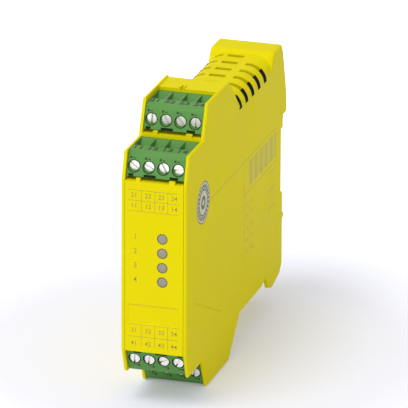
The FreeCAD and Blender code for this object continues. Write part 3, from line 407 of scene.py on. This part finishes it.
# ---------------------------------------------------------------- print on the front
def front_print():
    """Two tables with the poles' numbers, a line above the lower one, and the lamp windows with
    painted shade rings round them.
    """
    lines = []
    for rows, middle, tall in (((75.2, 71.6, 68.0), 71.7, 7.0), ((28.6, 24.3), 24.6, 7.6)):
        for z in rows:
            lines.append(strip((17.4, 0.14, INK), at(-0.2, PANEL_FACE, z), UPRIGHT))
        for x in TABLE_COLUMNS:
            lines.append(strip((0.14, tall, INK), at(x, PANEL_FACE, middle), UPRIGHT))
    lines.append(strip((17.4, 0.10, INK), at(-0.2, PANEL_FACE, 35.5), UPRIGHT))
    join(lines, "panel_table_lines", PANEL_INK, "case")
    numbers = []
    for pole, x in enumerate(NUMBER_COLUMNS):
        for first, z in ((21, 73.4), (11, 69.8), (31, 26.4), (41, 21.9)):
            numbers.append(numeral(str(first + pole), 1.6, at(x, PANEL_FACE, z), UPRIGHT))
    for lamp in range(LAMPS):
        place = at(LAMP_TEXT_X, PANEL_FACE, LAMP_TEXT_TOP - LAMP_PITCH * lamp)
        numbers.append(numeral(str(lamp + 1), 1.9, place, UPRIGHT))
    join(numbers, "panel_numbers", PANEL_INK, "case")
    windows, edge_shades = [], []
    for lamp in range(LAMPS):
        height = LAMP_LOW + LAMP_PITCH * lamp
        centre = at(LAMP_X, 0.2, height)
        deselect()
        bpy.ops.mesh.primitive_uv_sphere_add(segments=40, ring_count=12, radius=1.72 * MM)
        disc = bpy.context.active_object
        disc.matrix_world = Matrix.Translation(centre) @ UPRIGHT @ Matrix.Diagonal((1, 1, 0.16, 1))
        pick(disc)
        bpy.ops.object.transform_apply(location=True, rotation=True, scale=True)
        windows.append(disc)
        # painted shade ring at the edge of each lamp hole
        edge_shades.append(ring(1.5, 1.75, 0.05, at(LAMP_X, 0.04, height), UPRIGHT))
    join(windows, "lamp_windows", WINDOW, "case")
    join(edge_shades, "lamp_window_edge_shades", WINDOW_EDGE_SHADE, "case")


# ---------------------------------------------------------------- painted shade in the shoulder vents' slots
def vent_slot_painted_shade():
    """Curved black strips in the slots of both shoulders, painted shade for the dark insides of
    the slots.
    """
    strips = []
    for row, side in [(row, side) for row in range(VENT_ROWS) for side in (1, -1)]:
        y = VENT_FIRST + row * VENT_PITCH
        deselect()
        bpy.ops.mesh.primitive_grid_add(x_subdivisions=12, y_subdivisions=2, size=1.0)
        item = bpy.context.active_object
        for vertex in item.data.vertices:
            angle = math.radians(SLOT_SHADE_FROM + SLOT_SHADE_SWEEP * (vertex.co.x + 0.5))
            out = WALL_FACE - SHOULDER_RADIUS + SHOULDER_RADIUS * math.cos(angle)
            vertex.co = at(side * out, y + SLOT_SHADE_WIDTH * vertex.co.y,
                           SHOULDER_HEIGHT + SHOULDER_RADIUS * math.sin(angle))
        thick = item.modifiers.new("thick", "SOLIDIFY")
        thick.thickness = 0.2 * MM
        thick.offset = 0.0
        pick(item)
        bpy.ops.object.modifier_apply(modifier="thick")
        bpy.ops.object.mode_set(mode="EDIT")
        bpy.ops.mesh.select_all(action="SELECT")
        bpy.ops.mesh.normals_make_consistent(inside=False)
        bpy.ops.object.mode_set(mode="OBJECT")
        strips.append(item)
    join(strips, "vent_slot_painted_shade", VENT_SLOT_SHADE, "case")


# ---------------------------------------------------------------- print on the right side
def side_line(y1, z1, y2, z2, width):
    """A printed line on the right-hand wall, between two places."""
    middle = at(WALL_FACE + 0.005, (y1 + y2) / 2, (z1 + z2) / 2)
    turn = Matrix.Rotation(math.atan2(z2 - z1, y2 - y1), 4, "X") @ ON_SIDE
    return strip((math.hypot(y2 - y1, z2 - z1), width, INK), middle, turn)


def side_print():
    """Ruled lines, a row of bars and numbers in faint print, and a round seal."""
    lines = [side_line(25, 64.9, 102, 64.9, 0.22), side_line(65, 53.0, 103, 53.0, 0.22),
             side_line(64.8, 64.0, 64.8, 29.0, 0.22)]
    for bar in range(22):
        y = 70.5 + 1.45 * bar
        lines.append(side_line(y, 54.6, y, 63.4, 0.35 + 0.3 * ((bar * 7) % 4)))
    for y, low, high in ((71.0, 31.0, 49.5), (95.5, 38.0, 51.0), (98.5, 38.0, 51.0)):
        lines.append(side_line(y, low, y, high, 0.2))
    for z in (38.0, 44.5, 51.0):
        lines.append(side_line(93.0, z, 101.0, z, 0.2))
    join(lines, "side_lines", FAINT_INK, "case")
    numbers = []
    for step in range(5):
        for column, y in ((0, 68.4), (5, 74.0)):
            place = at(WALL_FACE + 0.005, y, 48.5 - 4.2 * step)
            numbers.append(numeral(str(column + step + 1), 1.7, place, ON_SIDE))
    join(numbers, "side_numbers", FAINT_INK, "case")
    centre = at(WALL_FACE + 0.01, SEAL_Y, SEAL_Z)
    turn = Matrix.Rotation(math.pi / 2, 4, "Y")
    deselect()
    bpy.ops.mesh.primitive_cylinder_add(vertices=64, radius=SEAL_RADIUS * MM, depth=0.02 * MM)
    disc = bpy.context.active_object
    disc.matrix_world = Matrix.Translation(centre) @ turn
    settle(disc, "seal_ground", SEAL_PALE, "case")
    above = centre + Vector((0.012 * MM, 0, 0))
    rings = [ring(inner, outer, 0.012, above, turn, 64)
             for inner, outer in SEAL_RINGS]
    for tick in range(SEAL_TICKS):
        swing = Matrix.Rotation(tick * math.tau / SEAL_TICKS, 4, "X")
        lie = above + swing.to_3x3() @ Vector((0, 0, TICK_RADIUS * MM))
        rings.append(strip((1.3, 0.95, INK), lie, swing @ turn))
    join(rings, "seal_rings", SEAL_DARK, "case")


# ---------------------------------------------------------------- floor, light and camera
def mix_by_ray(tree, kinds):
    """1 where any of the given kinds of ray arrives."""
    path = tree.nodes.new("ShaderNodeLightPath")
    factor = path.outputs[kinds[0]]
    for kind in kinds[1:]:
        factor = maths(tree, "MAXIMUM", factor, path.outputs[kind])
    return factor


def distance_from(tree, centre):
    """How far a point of the floor lies from a centre on it."""
    away = tree.nodes.new("ShaderNodeVectorMath")
    away.operation = "DISTANCE"
    tree.links.new(tree.nodes.new("ShaderNodeTexCoord").outputs["Object"], away.inputs[0])
    away.inputs[1].default_value = centre
    return away.outputs["Value"]


STUDIO_LAMPS = (                           # name, place, size and power of each area lamp
    ("key", (-0.6, -1.0, 2.3), 1.2, 22.0),
    ("front", (-0.3, -2.3, 0.45), 1.3, 11.0),
)


def lay_floor():
    """Pale paper: takes the shadow, glows to the camera away from the object, clear from below."""
    floor_level = at(0, 0, 0).z - 0.0001
    deselect()
    bpy.ops.mesh.primitive_grid_add(x_subdivisions=4, y_subdivisions=4, size=12.0,
                                    location=(0, 0, floor_level))
    floor = bpy.context.active_object
    floor.name = "floor"
    paper = bpy.data.materials.new("pale_floor")
    paper.use_nodes = True
    tree = paper.node_tree
    shader = tree.nodes["Principled BSDF"]
    shader.inputs["Base Color"].default_value = (0.80, 0.81, 0.94, 1)
    shader.inputs["Roughness"].default_value = 0.9
    shader.inputs["Emission Color"].default_value = (1, 1, 1, 1)
    seen = mix_by_ray(tree, ("Is Camera Ray", "Is Glossy Ray"))
    glow = tree.nodes.new("ShaderNodeMapRange")
    tree.links.new(distance_from(tree, at(0, MIDDLE_DEPTH, RAIL_HEIGHT)), glow.inputs["Value"])
    for name, value in (("From Min", 0.07), ("From Max", 0.17), ("To Min", 0.19), ("To Max", 0.6)):
        glow.inputs[name].default_value = value
    tree.links.new(maths(tree, "MULTIPLY", seen, glow.outputs["Result"]),
                   shader.inputs["Emission Strength"])
    through = tree.nodes.new("ShaderNodeBsdfTransparent")
    sides = tree.nodes.new("ShaderNodeNewGeometry")
    either = tree.nodes.new("ShaderNodeMixShader")
    tree.links.new(sides.outputs["Backfacing"], either.inputs[0])
    tree.links.new(shader.outputs[0], either.inputs[1])
    tree.links.new(through.outputs[0], either.inputs[2])
    tree.links.new(either.outputs[0], tree.nodes["Material Output"].inputs["Surface"])
    floor.data.materials.append(paper)


def light_world():
    """Even light on the object; plain white to the camera and in reflections."""
    world = bpy.data.worlds.new("studio")
    bpy.context.scene.world = world
    world.use_nodes = True
    tree = world.node_tree
    sky = tree.nodes["Background"]
    sky.inputs["Color"].default_value = (1, 1, 1, 1)
    seen = mix_by_ray(tree, ("Is Camera Ray", "Is Glossy Ray", "Is Transmission Ray"))
    lit = maths(tree, "MULTIPLY", maths(tree, "SUBTRACT", 1.0, seen), 0.6)
    tree.links.new(maths(tree, "ADD", lit, seen), sky.inputs["Strength"])


def hang_lamps():
    for name, place, size, power in STUDIO_LAMPS:
        lamp_data = bpy.data.lights.new(name, "AREA")
        lamp_data.size = size
        lamp_data.energy = power
        lamp = bpy.data.objects.new(name, lamp_data)
        bpy.context.scene.collection.objects.link(lamp)
        lamp.location = place
        aim = at(0, MIDDLE_DEPTH, 50) - lamp.location
        lamp.rotation_euler = aim.to_track_quat("-Z", "Y").to_euler()


def stand_camera():
    lens = bpy.data.cameras.new("camera")
    lens.lens = 535.3
    lens.sensor_width = 36.0
    lens.clip_end = 50.0
    camera = bpy.data.objects.new("camera", lens)
    camera.location = (0.55887, -1.87623, 0.69136)
    camera.rotation_euler = (1.224147, -0.00428, 0.299292)
    bpy.context.scene.collection.objects.link(camera)
    bpy.context.scene.camera = camera


bpy.context.scene.view_settings.view_transform = "Standard"
dress_nodes()
for row_name in ROWS:
    terminal_print(row_name)
front_print()
vent_slot_painted_shade()
side_print()
lay_floor()
light_world()
hang_lamps()
stand_camera()
